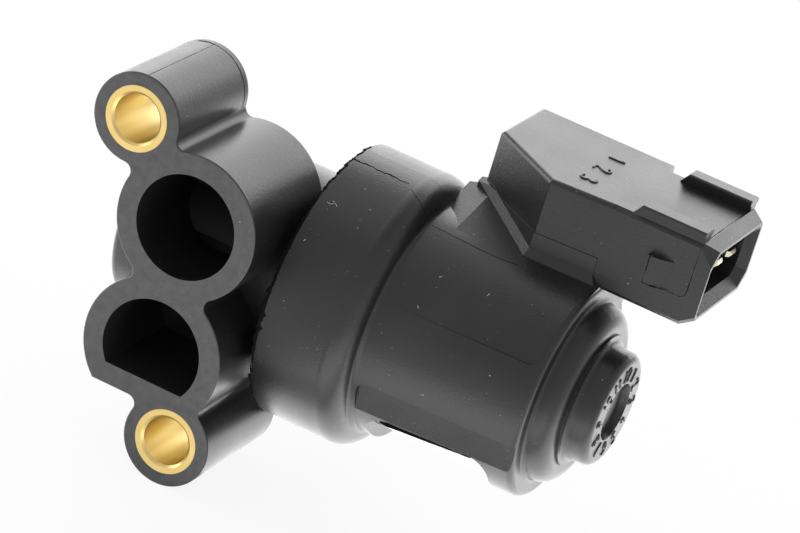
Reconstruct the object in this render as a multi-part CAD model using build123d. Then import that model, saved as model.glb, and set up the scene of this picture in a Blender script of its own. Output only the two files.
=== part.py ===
"""Idle air control valve: a flanged valve body with two ports, closed by a small rotary motor.

Frame: the origin is midway between the two bolts on the port face, +X runs along the motor
axis towards the tail, the port face looks along -Y and +Z is up. All sizes are millimetres.
"""
import math
import os

from build123d import *

# Port face and the block behind it
BOLT_SPACING_X = 16.2
BOLT_SPACING_Z = 40.8
BOSS_R = 6.3
BLOCK_DEPTH = 20.2
BLOCK_REAR_ROUND = 0.5
FACE_ROUND = 0.25
NOTCH_R = 1.2
PORT_X = 2.6
PORT_PITCH = 18.4
PORT_R = 7.2
PORT_WALL = 3.0
PORT_FLAT = 4.25
BUSH_R = 4.5
BUSH_BORE_R = 3.35
BUSH_CHAMFER = 0.35

# Motor axis and the round chamber that holds the rotary slide
AXIS_Y = 24.0
CHAMBER_BORE_R = 11.0
CHAMBER_WALL = 2.6
CHAMBER_END_WALL = 2.5
CHAMBER_OVERHANG = 3.9
CHAMBER_ROUND = 1.0
PORT_STOP_SHORT = 7.0

# Collar joint between the valve body and the motor housing
COLLAR_GAP = 0.1
COLLAR_R = 19.7
COLLAR_WALL = 2.5
COLLAR_EDGE = 0.3
COLLAR_BAND = 9.7
SHOULDER_LENGTH = 4.4
SHOULDER_STEP = 0.9
FLANGE_T = 4.0
FLANGE_CLEARANCE = 0.2
SEAL_SECTION_R = 0.75
SEAL_GROOVE_DEPTH = 1.6

# Motor barrel, its window and its tail
BARREL_R = 16.5
BARREL_TAIL_R = 15.65
BARREL_LENGTH = 23.2
BARREL_END_ROUND = 1.0
PANEL_DEPTH = 0.35
PANEL_INSET = 0.9
PANEL_CORNER_R = 1.6
LAND_HIGH = 7.35
LAND_LOW_ANGLE = -14.6
STRIP_ANGLE = -18.0
STRIP_DEPTH = 0.55
STRIP_WIDTH = 12.0
WINDOW_HALF_WIDTH = 13.3
WINDOW_LENGTH = 18.1
WINDOW_INSET = 1.4
WINDOW_CORNER_R = 2.4
END_WALL = 3.35
DOME_R = 12.8
DOME_LENGTH = 3.5
DOME_FACE_R = 9.8
DOME_FOOT_ROUND = 0.7
DOME_STEP = 0.3
KNOB_R = 8.2
KNOB_LENGTH = 3.5
KNOB_ROUND = 1.2
KNOB_DRAFT = 0.1
DIMPLE_R = 4.1
DIMPLE_DEPTH = 1.0

# Connector
PLUG_OFFSET_Y = 9.3
PLUG_WIDTH = 19.5
PLUG_HEIGHT = 11.8
PLUG_TOP_Z = 27.0
PLUG_REACH = 11.25
PLUG_EDGE = 0.6
MOUTH_LENGTH = 1.8
MOUTH_INSET_Y = 0.65
MOUTH_INSET_Z = 1.05
RIM_T = 0.4
LEAD_IN = 1.35
SOCKET_DEPTH = 13.0
SOCKET_WIDTH = 14.8
SOCKET_HEIGHT = 6.2
SOCKET_KEY = 1.2
MOUTH_KEY = 1.9
SOCKET_CORNER = 0.6
RAIL_WIDTH = 2.8
RAIL_HEIGHT = 1.6
RAIL_CAP = 0.8
RAIL_UNDERCUT = 0.5
RAIL_LENGTH = 10.9
RAIL_RAMP = 1.6
RAIL_ROUND = 0.3
CATCH_LENGTH = 3.6
CATCH_HEIGHT = 3.9
CATCH_PROUD = 1.1
CATCH_FLAT = 1.5
CATCH_SETBACK = 6.4
BASE_INSET = 1.1
BASE_LENGTH = 20.3
BASE_BACK = 2.4
BASE_FRONT = 0.8
BASE_CORNER_X = 11.35
BASE_CORNER_Y = 8.7
BASE_ROUND = 0.7
BASE_CORNER_ROUND = 0.5
BASE_STEP = 0.12
BASE_STEP_DROP = 7.8
LEDGE = 0.9
LEDGE_SLOPE = 0.8
SADDLE_ANGLE = 73.5
SADDLE_SINK = 0.08
SADDLE_FALL = 1.4
SADDLE_LEAD = 2.2
SADDLE_FLARE = 1.3
SADDLE_FLARE_LENGTH = 4.0
SADDLE_TOP_Y = 8.0
SADDLE_BACK_Y = 13.0
PIN_PITCH = 5.0
PIN_WIDTH = 2.8
PIN_T = 0.8
PIN_RISE = 0.55
PIN_TIP_SHORT = 1.5
PIN_TIP_CHAMFER = 0.6
PIN_TIP_COIN = 0.25
PIN_ROOT = 5.0
PIN_LEG = 4.2

# Motor inside the barrel
PLATE_T = 2.5
PLATE_WALL = 1.8
YOKE_INSET = 0.95
YOKE_T = 1.0
YOKE_SETBACK = 1.5
STACK_LENGTH = 14.0
CORE_RING_T = 2.0
TOOTH_WIDTH = 4.6
SHOE_T = 1.1
SHOE_ARC = 66.0
POLES = 4
AIR_GAP = 0.4
MAGNET_R = 6.8
MAGNET_T = 1.9
MAGNET_OVERRUN = 1.0
BOBBIN_T = 0.5
WINDING_T = 1.5
WINDING_GAP = 0.15
HUB_R = 3.4
SHAFT_R = 2.5
BEARING_R = 6.5
BEARING_WIDTH = 4.0
BEARING_LIP = 0.2
BALL_R = 1.0
BALLS = 8
RACE_T = 1.1
RACE_PLAY = 0.05
CAGE_WIDTH = 2.8
CAGE_T = 0.6
WASHER_T = 0.6
WASHER_T_RADIAL = 1.6
SHAFT_SEAL_T = 1.4
SHAFT_SEAL_R = 5.4

# Rotary slide and its end stops
SLIDE_LENGTH = 15.0
SLIDE_T = 1.8
SLIDE_ARC = 52.0
SLIDE_WEB_T = 2.0
SLIDE_HUB_R = 4.2
SLIDE_REST = 43.0
SLIDE_CLOSED = -14.0
SLIDE_OPEN = 34.0
STOP_R = 9.4
STOP_T = 2.2
STOP_ARC = 9.0
STOP_HEIGHT = 2.9
STOP_CLEARANCE = 2.0
TAB_ARC = 8.0
TAB_LENGTH = 3.2
CLIP_T = 0.7
CLIP_R = 4.3
CLIP_GAP_ARC = 70.0

# Clearances shared by all fits
FIT = 0.02
RUN = 0.05
SLIDE_PLAY = 0.1

# Stations along the motor axis
PORT_OUTER_R = PORT_R + PORT_WALL
CHAMBER_R = CHAMBER_BORE_R + CHAMBER_WALL
X_CHAMBER = PORT_X - PORT_OUTER_R - CHAMBER_OVERHANG
X_BORE = X_CHAMBER + CHAMBER_END_WALL
X_COLLAR = BOLT_SPACING_X / 2 + BOSS_R + COLLAR_GAP
X_PLATE = X_COLLAR + FLANGE_T
X_SHOULDER = X_PLATE + PLATE_T
X_BAND = X_COLLAR + COLLAR_BAND
X_BARREL = X_BAND + SHOULDER_LENGTH
X_TAIL = X_BARREL + BARREL_LENGTH
X_MOTOR_END = X_TAIL - END_WALL
X_DOME = X_TAIL + DOME_LENGTH
X_KNOB = X_DOME + KNOB_LENGTH
X_STACK = (X_SHOULDER + X_MOTOR_END) / 2
COLLAR_BORE_R = COLLAR_R - COLLAR_WALL
FLANGE_R = COLLAR_BORE_R - FLANGE_CLEARANCE
POLE_R = MAGNET_R + AIR_GAP
YOKE_R = min(BARREL_R, BARREL_TAIL_R) - YOKE_INSET
CORE_R = YOKE_R - YOKE_T - FIT

# Stations of the connector
PLUG_Y = AXIS_Y + PLUG_OFFSET_Y
PLUG_Z = PLUG_TOP_Z - PLUG_HEIGHT / 2
X_BASE = X_BARREL + BASE_INSET
X_BASE_END = X_BASE + BASE_LENGTH
X_MOUTH = X_TAIL + PLUG_REACH
X_RIM = X_MOUTH + MOUTH_LENGTH
X_SOCKET = X_RIM - SOCKET_DEPTH
PIN_Z = PLUG_Z + PIN_RISE

FACE_PLANE = Plane(origin=(0, 0, 0), x_dir=(1, 0, 0), z_dir=(0, -1, 0))
AXIS_PLANE = Plane(origin=(0, AXIS_Y, 0), x_dir=(1, 0, 0), z_dir=(0, -1, 0))
MOTOR_AXIS = Axis((0, AXIS_Y, 0), (1, 0, 0))


def cross_plane(x, y=0.0, z=0.0):
    """Plane across the motor axis: its own x is +Y, its own y is +Z, it faces +X."""
    return Plane(origin=(x, y, z), x_dir=(0, 1, 0), z_dir=(1, 0, 0))


def disc(x0, x1, radius):
    """Round bar about the motor axis from x0 to x1."""
    return extrude(cross_plane(x0, AXIS_Y) * Circle(radius), x1 - x0)


def ring(x0, x1, outer, inner):
    """Plain ring about the motor axis."""
    face = Circle(outer) - Circle(inner)
    return extrude(cross_plane(x0, AXIS_Y) * face, x1 - x0)


def turned(outline):
    """Solid turned about the motor axis from a closed outline of (x, radius) curves."""
    return revolve(AXIS_PLANE * make_face(outline), MOTOR_AXIS)


def sector(x0, x1, outer, inner, middle, arc):
    """Part of a ring; angles run from -Y (0 degrees) up towards +Z."""
    start = math.radians(180 - middle - arc / 2)
    half = math.radians(180 - middle)
    stop = math.radians(180 - middle + arc / 2)

    def at(radius, angle):
        return (radius * math.cos(angle), radius * math.sin(angle))

    outline = Curve() + [
        ThreePointArc(at(outer, start), at(outer, half), at(outer, stop)),
        Line(at(outer, stop), at(inner, stop)),
        ThreePointArc(at(inner, stop), at(inner, half), at(inner, start)),
        Line(at(inner, start), at(outer, start)),
    ]
    return extrude(cross_plane(x0, AXIS_Y) * make_face(outline), x1 - x0)


def circle_crossings(a, radius_a, b, radius_b):
    """The two points where two circles cross."""
    dx = b[0] - a[0]
    dz = b[1] - a[1]
    span = math.hypot(dx, dz)
    along = (span ** 2 + radius_a ** 2 - radius_b ** 2) / (2 * span)
    aside = math.sqrt(max(radius_a ** 2 - along ** 2, 0.0))
    foot = (a[0] + along * dx / span, a[1] + along * dz / span)
    return [
        (foot[0] - side * aside * dz / span, foot[1] + side * aside * dx / span)
        for side in (1, -1)
    ]


UPPER_BOLT = (-BOLT_SPACING_X / 2, BOLT_SPACING_Z / 2)
LOWER_BOLT = (BOLT_SPACING_X / 2, -BOLT_SPACING_Z / 2)
UPPER_PORT = (PORT_X, PORT_PITCH / 2)
LOWER_PORT = (PORT_X, -PORT_PITCH / 2)


def flatted_circle(centre, radius, flat):
    """Circle with everything more than flat below its centre cut away."""
    cut = Pos(centre[0], centre[1] - flat - radius) * Rectangle(4 * radius, 2 * radius)
    return Pos(*centre) * Circle(radius) - cut


def block_outline():
    """Front view of the port block: two port tubes between two bolt bosses."""
    outline = Pos(*UPPER_PORT) * Circle(PORT_OUTER_R)
    outline += flatted_circle(LOWER_PORT, PORT_OUTER_R, PORT_FLAT + PORT_WALL)
    outline += Pos(*UPPER_BOLT) * Circle(BOSS_R)
    outline += Pos(*LOWER_BOLT) * Circle(BOSS_R)
    return outline


def notch_points():
    """Corners between neighbouring tubes that the mould rounds out."""
    flat_z = LOWER_PORT[1] - PORT_FLAT - PORT_WALL
    reach = math.sqrt(max(BOSS_R ** 2 - (flat_z - LOWER_BOLT[1]) ** 2, 0.0))
    points = circle_crossings(UPPER_PORT, PORT_OUTER_R, UPPER_BOLT, BOSS_R)
    points += circle_crossings(UPPER_PORT, PORT_OUTER_R, LOWER_PORT, PORT_OUTER_R)
    points += circle_crossings(LOWER_PORT, PORT_OUTER_R, LOWER_BOLT, BOSS_R)
    points.append((LOWER_BOLT[0] - reach, flat_z))
    return points


def port_block():
    """Moulded block from the port face back to the chamber."""
    block = extrude(FACE_PLANE * block_outline(), -BLOCK_DEPTH)
    points = notch_points()
    notches = [
        edge
        for edge in block.edges().filter_by(Axis.Y)
        if any(math.hypot(edge.center().X - x, edge.center().Z - z) < 0.01 for x, z in points)
    ]
    block = fillet(notches, NOTCH_R)
    rear = block.faces().sort_by(Axis.Y)[-1]
    block = fillet(rear.edges(), BLOCK_REAR_ROUND)
    front = block.faces().sort_by(Axis.Y)[0]
    return fillet(front.edges(), FACE_ROUND)


def stop_lugs():
    """Two ribs on the chamber's end wall that stop the slide."""
    away = TAB_ARC / 2 + STOP_CLEARANCE + STOP_ARC / 2
    middles = (SLIDE_REST + SLIDE_CLOSED - away, SLIDE_REST + SLIDE_OPEN + away)
    return [
        sector(X_BORE, X_BORE + STOP_HEIGHT, STOP_R, STOP_R - STOP_T, middle, STOP_ARC)
        for middle in middles
    ]


def valve_body():
    """One moulding: port block, chamber and the flange that plugs into the collar."""
    chamber = disc(X_CHAMBER, X_COLLAR + FLANGE_T, CHAMBER_R)
    left_edge = chamber.edges().group_by(Axis.X)[0]
    body = port_block() + fillet(left_edge, CHAMBER_ROUND)
    body += disc(X_COLLAR, X_PLATE, FLANGE_R)
    groove_half = SEAL_SECTION_R + FIT
    groove_x = X_COLLAR + FLANGE_T / 2
    groove = ring(groove_x - groove_half, groove_x + groove_half, COLLAR_R, COLLAR_BORE_R - SEAL_GROOVE_DEPTH)
    body -= groove
    port_depth = AXIS_Y - PORT_STOP_SHORT
    body -= extrude(FACE_PLANE * (Pos(*UPPER_PORT) * Circle(PORT_R)), -port_depth)
    body -= extrude(FACE_PLANE * flatted_circle(LOWER_PORT, PORT_R, PORT_FLAT), -port_depth)
    body -= disc(X_BORE, X_PLATE, CHAMBER_BORE_R)
    for bolt in (UPPER_BOLT, LOWER_BOLT):
        body -= extrude(FACE_PLANE * (Pos(*bolt) * Circle(BUSH_R + FIT)), -BLOCK_DEPTH)
    for lug in stop_lugs():
        body += lug
    return body


def mounting_bush(bolt):
    """Turned brass sleeve that takes the bolt load through a boss."""
    face = Pos(*bolt) * Circle(BUSH_R) - Pos(*bolt) * Circle(BUSH_BORE_R)
    bush = extrude(FACE_PLANE * face, -BLOCK_DEPTH)
    mouths = bush.edges().filter_by(GeomType.CIRCLE).sort_by(SortBy.RADIUS)[:2]
    return chamfer(mouths, BUSH_CHAMFER)


def body_seal_ring():
    """Rubber ring between the flange and the collar bore."""
    centre_r = COLLAR_BORE_R - SEAL_SECTION_R - RUN
    section = Pos(X_COLLAR + FLANGE_T / 2, centre_r) * Circle(SEAL_SECTION_R)
    return revolve(AXIS_PLANE * section, MOTOR_AXIS)


def housing_outline():
    """Half section of the collar, shoulder, barrel, dome and knob as (x, radius)."""
    shoulder_x = X_BAND + 0.78 * SHOULDER_LENGTH
    shoulder_r = BARREL_R + SHOULDER_STEP
    shoulder_mid = (X_BAND + 0.58 * SHOULDER_LENGTH, shoulder_r + 0.66 * (COLLAR_R - shoulder_r))
    foot_mid = (X_BARREL - 0.16 * SHOULDER_LENGTH, BARREL_R + 0.3 * SHOULDER_STEP)
    end_r = BARREL_TAIL_R - BARREL_END_ROUND
    end_mid = (X_TAIL - 0.29 * BARREL_END_ROUND, BARREL_TAIL_R - 0.29 * BARREL_END_ROUND)
    dome_foot_x = X_TAIL + DOME_FOOT_ROUND
    dome_foot_mid = (X_TAIL + 0.29 * DOME_FOOT_ROUND, DOME_R + 0.29 * DOME_FOOT_ROUND)
    dome_mid = (X_TAIL + 0.72 * DOME_LENGTH, DOME_FACE_R + 0.7 * (DOME_R - DOME_FACE_R))
    knob_foot = (KNOB_R + DOME_FACE_R) / 2
    knob_foot_x = X_DOME + (knob_foot - KNOB_R)
    knob_foot_mid = (X_DOME + 0.3 * (knob_foot - KNOB_R), knob_foot - 0.7 * (knob_foot - KNOB_R))
    knob_end = KNOB_R - KNOB_DRAFT
    round_mid = (X_KNOB - 0.3 * KNOB_ROUND, knob_end - 0.3 * KNOB_ROUND)
    return Curve() + [
        Polyline(
            (X_COLLAR, 0),
            (X_COLLAR, COLLAR_R - COLLAR_EDGE),
            (X_COLLAR + COLLAR_EDGE, COLLAR_R),
            (X_BAND, COLLAR_R),
        ),
        ThreePointArc((X_BAND, COLLAR_R), shoulder_mid, (shoulder_x, shoulder_r)),
        ThreePointArc((shoulder_x, shoulder_r), foot_mid, (X_BARREL, BARREL_R)),
        Line((X_BARREL, BARREL_R), (X_TAIL - BARREL_END_ROUND, BARREL_TAIL_R)),
        ThreePointArc((X_TAIL - BARREL_END_ROUND, BARREL_TAIL_R), end_mid, (X_TAIL, end_r)),
        Line((X_TAIL, end_r), (X_TAIL, DOME_R + DOME_FOOT_ROUND)),
        ThreePointArc((X_TAIL, DOME_R + DOME_FOOT_ROUND), dome_foot_mid, (dome_foot_x, DOME_R)),
        ThreePointArc((dome_foot_x, DOME_R), dome_mid, (X_DOME - DOME_STEP, DOME_FACE_R)),
        Polyline(
            (X_DOME - DOME_STEP, DOME_FACE_R),
            (X_DOME - DOME_STEP, DOME_FACE_R - DOME_STEP),
            (X_DOME, DOME_FACE_R - DOME_STEP),
            (X_DOME, knob_foot),
        ),
        ThreePointArc((X_DOME, knob_foot), knob_foot_mid, (knob_foot_x, KNOB_R)),
        Line((knob_foot_x, KNOB_R), (X_KNOB - KNOB_ROUND, knob_end)),
        ThreePointArc((X_KNOB - KNOB_ROUND, knob_end), round_mid, (X_KNOB, knob_end - KNOB_ROUND)),
        Polyline(
            (X_KNOB, knob_end - KNOB_ROUND),
            (X_KNOB, DIMPLE_R),
            (X_KNOB - DIMPLE_DEPTH, DIMPLE_R - 0.3 * DIMPLE_DEPTH),
            (X_KNOB - DIMPLE_DEPTH, 0),
            (X_COLLAR, 0),
        ),
    ]


def upper_panel():
    """Shallow panel sunk into both sides of the barrel, deeper towards the tail, with rounded corners."""
    floor = turned(
        Polyline(
            (X_BARREL, 0),
            (X_BARREL, BARREL_R),
            (X_TAIL, BARREL_TAIL_R - PANEL_DEPTH),
            (X_TAIL, 0),
            (X_BARREL, 0),
        )
    )
    length = BARREL_LENGTH - PANEL_INSET
    height = 2 * BARREL_R - LAND_HIGH
    place = Pos(X_BARREL + length / 2, LAND_HIGH + height / 2)
    outline = RectangleRounded(length, height, PANEL_CORNER_R)
    return extrude(AXIS_PLANE * (place * outline), 2 * BARREL_R, both=True) - floor


def lower_strip():
    """Flat strip below the land on one side of the barrel, from the land's lower edge to the window."""
    angle = math.radians(STRIP_ANGLE)
    out = Vector(0, -math.cos(angle), math.sin(angle))
    down = Vector(1, 0, 0).cross(out)
    edge = BARREL_R * math.sin(math.radians(STRIP_ANGLE - LAND_LOW_ANGLE))
    plane = Plane(origin=Vector(0, AXIS_Y, 0) + down * edge, x_dir=(1, 0, 0), z_dir=down)
    x1 = X_TAIL + PANEL_CORNER_R
    face = make_face(
        Polyline(
            (X_BARREL, BARREL_R - STRIP_DEPTH),
            (x1, BARREL_TAIL_R - STRIP_DEPTH),
            (x1, 2 * BARREL_R),
            (X_BARREL, 2 * BARREL_R),
            close=True,
        )
    )
    strip = extrude(plane * face, STRIP_WIDTH)
    corners = strip.edges().filter_by(Axis((0, 0, 0), out)).group_by(Axis.X)[0]
    return fillet(corners, PANEL_CORNER_R)


def panelled_barrel():
    """Turned collar, barrel and tail; the sunk panel and strip leave a raised land along each side."""
    barrel = turned(housing_outline())
    barrel -= upper_panel()
    strip = lower_strip()
    barrel -= strip
    return barrel - mirror(strip, AXIS_PLANE)


def window_cut():
    """Opening in the underside of the barrel that shows the steel yoke tube."""
    x0 = X_BARREL + WINDOW_INSET
    face = RectangleRounded(WINDOW_LENGTH, 2 * WINDOW_HALF_WIDTH, WINDOW_CORNER_R)
    place = Pos(x0 + WINDOW_LENGTH / 2, AXIS_Y)
    return extrude(place * face, -2 * BARREL_R)


def base_outline(grow=0.0):
    """Plan view of the connector base, with its long slanted front corner."""
    front = PLUG_Y - PLUG_WIDTH / 2
    back = PLUG_Y + PLUG_WIDTH / 2 + BASE_BACK
    corner_y = front - BASE_FRONT + BASE_CORNER_Y
    outline = Polyline(
        (X_BASE, back),
        (X_BASE, corner_y),
        (X_BASE + BASE_CORNER_X, front - BASE_FRONT),
        (X_BASE_END, front),
        (X_BASE_END, back),
        close=True,
    )
    face = make_face(outline)
    if grow:
        face = offset(face, grow, kind=Kind.INTERSECTION)
    return face


def saddle(lift=0.0):
    """Ramp from the barrel, almost at a tangent, up to the connector base; it follows the barrel's taper."""
    angle = math.radians(SADDLE_ANGLE)
    reach = BARREL_R - SADDLE_SINK + lift
    start_y = AXIS_Y - reach * math.cos(angle)
    start_z = reach * math.sin(angle)
    ridge_y = AXIS_Y + SADDLE_TOP_Y
    ridge_z = start_z + (ridge_y - start_y) / math.tan(angle)
    outline = Polyline(
        (start_y, start_z),
        (ridge_y, ridge_z),
        (AXIS_Y + SADDLE_BACK_Y, ridge_z - SADDLE_FALL),
        (AXIS_Y + SADDLE_BACK_Y, 0),
        (start_y, 0),
        close=True,
    )
    x0 = X_BARREL - SADDLE_LEAD
    x1 = X_TAIL - BARREL_END_ROUND
    ramp = extrude(cross_plane(x0) * make_face(outline), x1 - x0)
    collar_side = ramp.faces().sort_by(Axis.X)[0]
    rims = collar_side.edges().sort_by(Axis.Z)[-2:]
    ramp = chamfer(rims, SADDLE_FLARE, SADDLE_FLARE_LENGTH, reference=collar_side)
    taper = math.degrees(math.atan((BARREL_R - BARREL_TAIL_R + PANEL_DEPTH) / BARREL_LENGTH))
    return Pos(X_BARREL, 0, 0) * Rot(0, taper, 0) * Pos(-X_BARREL, 0, 0) * ramp


def ledge():
    """Sloped skirt round the foot of the connector base, on the saddle."""
    skirt = extrude(base_outline(LEDGE), PLUG_TOP_Z) & saddle(LEDGE)
    ramp_top = skirt.faces().filter_by(lambda f: f.normal_at().Z > 0.9).sort_by(Axis.Y)[0]
    ridge_y = AXIS_Y + SADDLE_TOP_Y
    rims = [edge for edge in ramp_top.edges() if edge.center().Y < ridge_y - LEDGE]
    flare_run = min(edge.center().X for edge in rims) - (X_BASE - LEDGE)
    return chamfer(rims, min(LEDGE_SLOPE, flare_run / 3.25))


def connector_base():
    """Block on the barrel that carries the plug shroud."""
    block = extrude(base_outline(), PLUG_TOP_Z)
    corners = block.edges().filter_by(Axis.Z).sort_by(Axis.X)[:3]
    block = fillet(corners, BASE_CORNER_ROUND)
    top = block.faces().sort_by(Axis.Z)[-1]
    rims = [edge for edge in top.edges() if edge.center().X < X_BASE_END - BASE_ROUND]
    block = fillet(rims, BASE_ROUND)
    block += extrude(base_outline(BASE_STEP), PLUG_TOP_Z - BASE_STEP_DROP)
    block += ledge()
    underside = PLUG_TOP_Z - PLUG_HEIGHT
    overhang = Box(
        X_BASE_END,
        PLUG_WIDTH,
        underside,
        align=(Align.MIN, Align.MIN, Align.MIN),
    )
    return block - Pos(X_BASE - LEDGE, AXIS_Y + SADDLE_BACK_Y, 0) * overhang


def keyed_face(width, height, key, corner):
    """Rectangle with two opposite corners cut larger than the others, so a plug fits one way."""
    w = width / 2
    h = height / 2
    outline = Polyline(
        (-w, h - key),
        (-w + key, h),
        (w - corner, h),
        (w, h - corner),
        (w, -h + key),
        (w - key, -h),
        (-w + corner, -h),
        (-w, -h + corner),
        close=True,
    )
    return make_face(outline)


def plug_shroud():
    """Rectangular socket wall with a bevelled mouth."""
    section = keyed_face(PLUG_WIDTH, PLUG_HEIGHT, PLUG_EDGE, PLUG_EDGE)
    start = X_BASE_END - PLUG_EDGE
    shroud = extrude(cross_plane(start, PLUG_Y, PLUG_Z) * section, X_MOUTH - start)
    rim = keyed_face(
        PLUG_WIDTH - 2 * MOUTH_INSET_Y,
        PLUG_HEIGHT - 2 * MOUTH_INSET_Z,
        MOUTH_KEY,
        SOCKET_CORNER,
    )
    mouth = cross_plane(X_MOUTH, PLUG_Y, PLUG_Z) * section
    end = cross_plane(X_RIM, PLUG_Y, PLUG_Z) * rim
    return shroud + loft([mouth, end])


def socket_cut():
    """Keyed hollow that takes the plug, with a wide lead-in bevel at the mouth."""
    hollow = keyed_face(SOCKET_WIDTH, SOCKET_HEIGHT, SOCKET_KEY, SOCKET_CORNER)
    mouth = keyed_face(
        PLUG_WIDTH - 2 * (MOUTH_INSET_Y + RIM_T),
        PLUG_HEIGHT - 2 * (MOUTH_INSET_Z + RIM_T),
        MOUTH_KEY,
        SOCKET_CORNER,
    )
    bevel_x = X_RIM - LEAD_IN
    cut = extrude(cross_plane(X_SOCKET, PLUG_Y, PLUG_Z) * hollow, bevel_x - X_SOCKET)
    inner = cross_plane(bevel_x, PLUG_Y, PLUG_Z) * hollow
    outer = cross_plane(X_RIM, PLUG_Y, PLUG_Z) * mouth
    return cut + loft([inner, outer])


def plug_rail(side):
    """Undercut guide rail on top of the shroud; side is -1 at the front, +1 at the back."""
    half = RAIL_WIDTH / 2
    stem = half - RAIL_UNDERCUT
    stem_top = RAIL_HEIGHT - RAIL_CAP
    tee = make_face(
        Polyline(
            (-stem, -PLUG_EDGE),
            (-stem, stem_top),
            (-half, stem_top),
            (-half, RAIL_HEIGHT),
            (half, RAIL_HEIGHT),
            (half, stem_top),
            (stem, stem_top),
            (stem, -PLUG_EDGE),
            close=True,
        )
    )
    tee = fillet(tee.vertices().group_by(Axis.Y)[-1], RAIL_ROUND)
    y = PLUG_Y + side * (PLUG_WIDTH / 2 - half)
    x0 = X_MOUTH - RAIL_LENGTH
    rail = extrude(cross_plane(x0, y, PLUG_TOP_Z) * tee, RAIL_LENGTH)
    ramp = make_face(
        Polyline(
            (x0, -PLUG_EDGE),
            (x0 + RAIL_RAMP, RAIL_HEIGHT),
            (X_MOUTH, RAIL_HEIGHT),
            (X_MOUTH, -PLUG_EDGE),
            close=True,
        )
    )
    side_view = Plane(origin=(0, y + half, PLUG_TOP_Z), x_dir=(1, 0, 0), z_dir=(0, -1, 0))
    return rail & extrude(side_view * ramp, RAIL_WIDTH)


def plug_catch(side):
    """Latch wedge on the side of the shroud, flat at its top and steep towards the motor."""
    y = PLUG_Y + side * PLUG_WIDTH / 2
    x0 = X_MOUTH - CATCH_SETBACK
    wedge = make_face(
        Polyline(
            (x0, y - side * PLUG_EDGE),
            (x0, y + side * CATCH_PROUD),
            (x0 + CATCH_FLAT, y + side * CATCH_PROUD),
            (x0 + CATCH_LENGTH, y),
            (x0 + CATCH_LENGTH, y - side * PLUG_EDGE),
            close=True,
        )
    )
    bottom = PLUG_Z - CATCH_HEIGHT / 2
    return extrude(Pos(0, 0, bottom) * wedge, CATCH_HEIGHT)


def terminal(index, grow=0.0):
    """Flat brass blade with its moulded-in root and leg; index -1, 0 or 1 across the plug."""
    y = PLUG_Y + index * PIN_PITCH
    x0 = X_SOCKET - PIN_ROOT
    x1 = X_RIM - PIN_TIP_SHORT
    width = PIN_WIDTH + 2 * grow
    thick = PIN_T + 2 * grow
    blade = Pos((x0 - grow + x1) / 2, y, PIN_Z) * Box(x1 - x0 + grow, width, thick)
    if not grow:
        tip = blade.faces().sort_by(Axis.X)[-1]
        blade = chamfer(tip.edges().filter_by(Axis.Z), PIN_TIP_CHAMFER)
        tip = blade.faces().sort_by(Axis.X)[-1]
        blade = chamfer(tip.edges().filter_by(Axis.Y), PIN_TIP_COIN)
    leg_height = PIN_LEG + grow
    leg = Pos(x0 + PIN_T / 2, y, PIN_Z - leg_height / 2) * Box(thick, width, leg_height)
    return blade + leg


def motor_housing():
    """One moulding: collar, barrel with window, tail knob and the connector."""
    housing = panelled_barrel()
    housing += saddle()
    housing += connector_base()
    housing += plug_shroud()
    for side in (-1, 1):
        housing += plug_rail(side)
        housing += plug_catch(side)
    housing -= disc(X_COLLAR, X_SHOULDER, COLLAR_BORE_R)
    housing -= disc(X_SHOULDER, X_MOTOR_END, YOKE_R + RUN)
    pocket = BEARING_WIDTH + WASHER_T + BEARING_LIP
    housing -= disc(X_MOTOR_END, X_MOTOR_END + pocket, BEARING_R + FIT)
    housing -= window_cut()
    housing -= socket_cut()
    for index in (-1, 0, 1):
        housing -= terminal(index, FIT)
    return housing


def bearing_plate():
    """Plate behind the valve flange, with a cup for the front bearing."""
    cup_end = X_PLATE + PLATE_WALL + BEARING_WIDTH + BEARING_LIP
    plate = disc(X_PLATE, X_SHOULDER, FLANGE_R)
    plate += disc(X_SHOULDER, cup_end, BEARING_R + PLATE_WALL)
    plate -= disc(X_PLATE + PLATE_WALL, cup_end, BEARING_R + FIT)
    return plate - disc(X_PLATE, cup_end, SHAFT_R + BEARING_LIP)


def shaft_seal():
    """Rubber washer that keeps chamber air out of the motor."""
    return ring(X_PLATE - SHAFT_SEAL_T, X_PLATE, SHAFT_SEAL_R, SHAFT_R + RUN)


def yoke_tube():
    """Bright drawn steel tube round the stator."""
    return ring(X_SHOULDER + YOKE_SETBACK, X_MOTOR_END, YOKE_R, YOKE_R - YOKE_T)


def stack(x_over=0.0):
    """Ends of the laminated stack, stretched by x_over at each end."""
    return X_STACK - STACK_LENGTH / 2 - x_over, X_STACK + STACK_LENGTH / 2 + x_over


def pole_angles():
    """Middle angle of each stator pole."""
    return [45 + index * 360 / POLES for index in range(POLES)]


def stator_core():
    """Laminated ring with inward teeth and curved shoes."""
    x0, x1 = stack()
    core = ring(x0, x1, CORE_R, CORE_R - CORE_RING_T)
    tooth_length = CORE_R - CORE_RING_T / 2 - POLE_R - SHOE_T / 2
    for angle in pole_angles():
        tooth = Pos(POLE_R + SHOE_T / 2 + tooth_length / 2, 0) * Rectangle(tooth_length, TOOTH_WIDTH)
        face = cross_plane(x0, AXIS_Y) * (Rot(0, 0, 180 - angle) * tooth)
        core += extrude(face, x1 - x0)
        core += sector(x0, x1, POLE_R + SHOE_T, POLE_R, angle, SHOE_ARC)
    return core


def coil_box(inner, outer, width, x_over, angle):
    """Box round one tooth, from the inner to the outer radius."""
    x0, x1 = stack(x_over)
    bar = Pos((inner + outer) / 2, 0) * Rectangle(outer - inner, width)
    return extrude(cross_plane(x0, AXIS_Y) * (Rot(0, 0, 180 - angle) * bar), x1 - x0)


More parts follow.
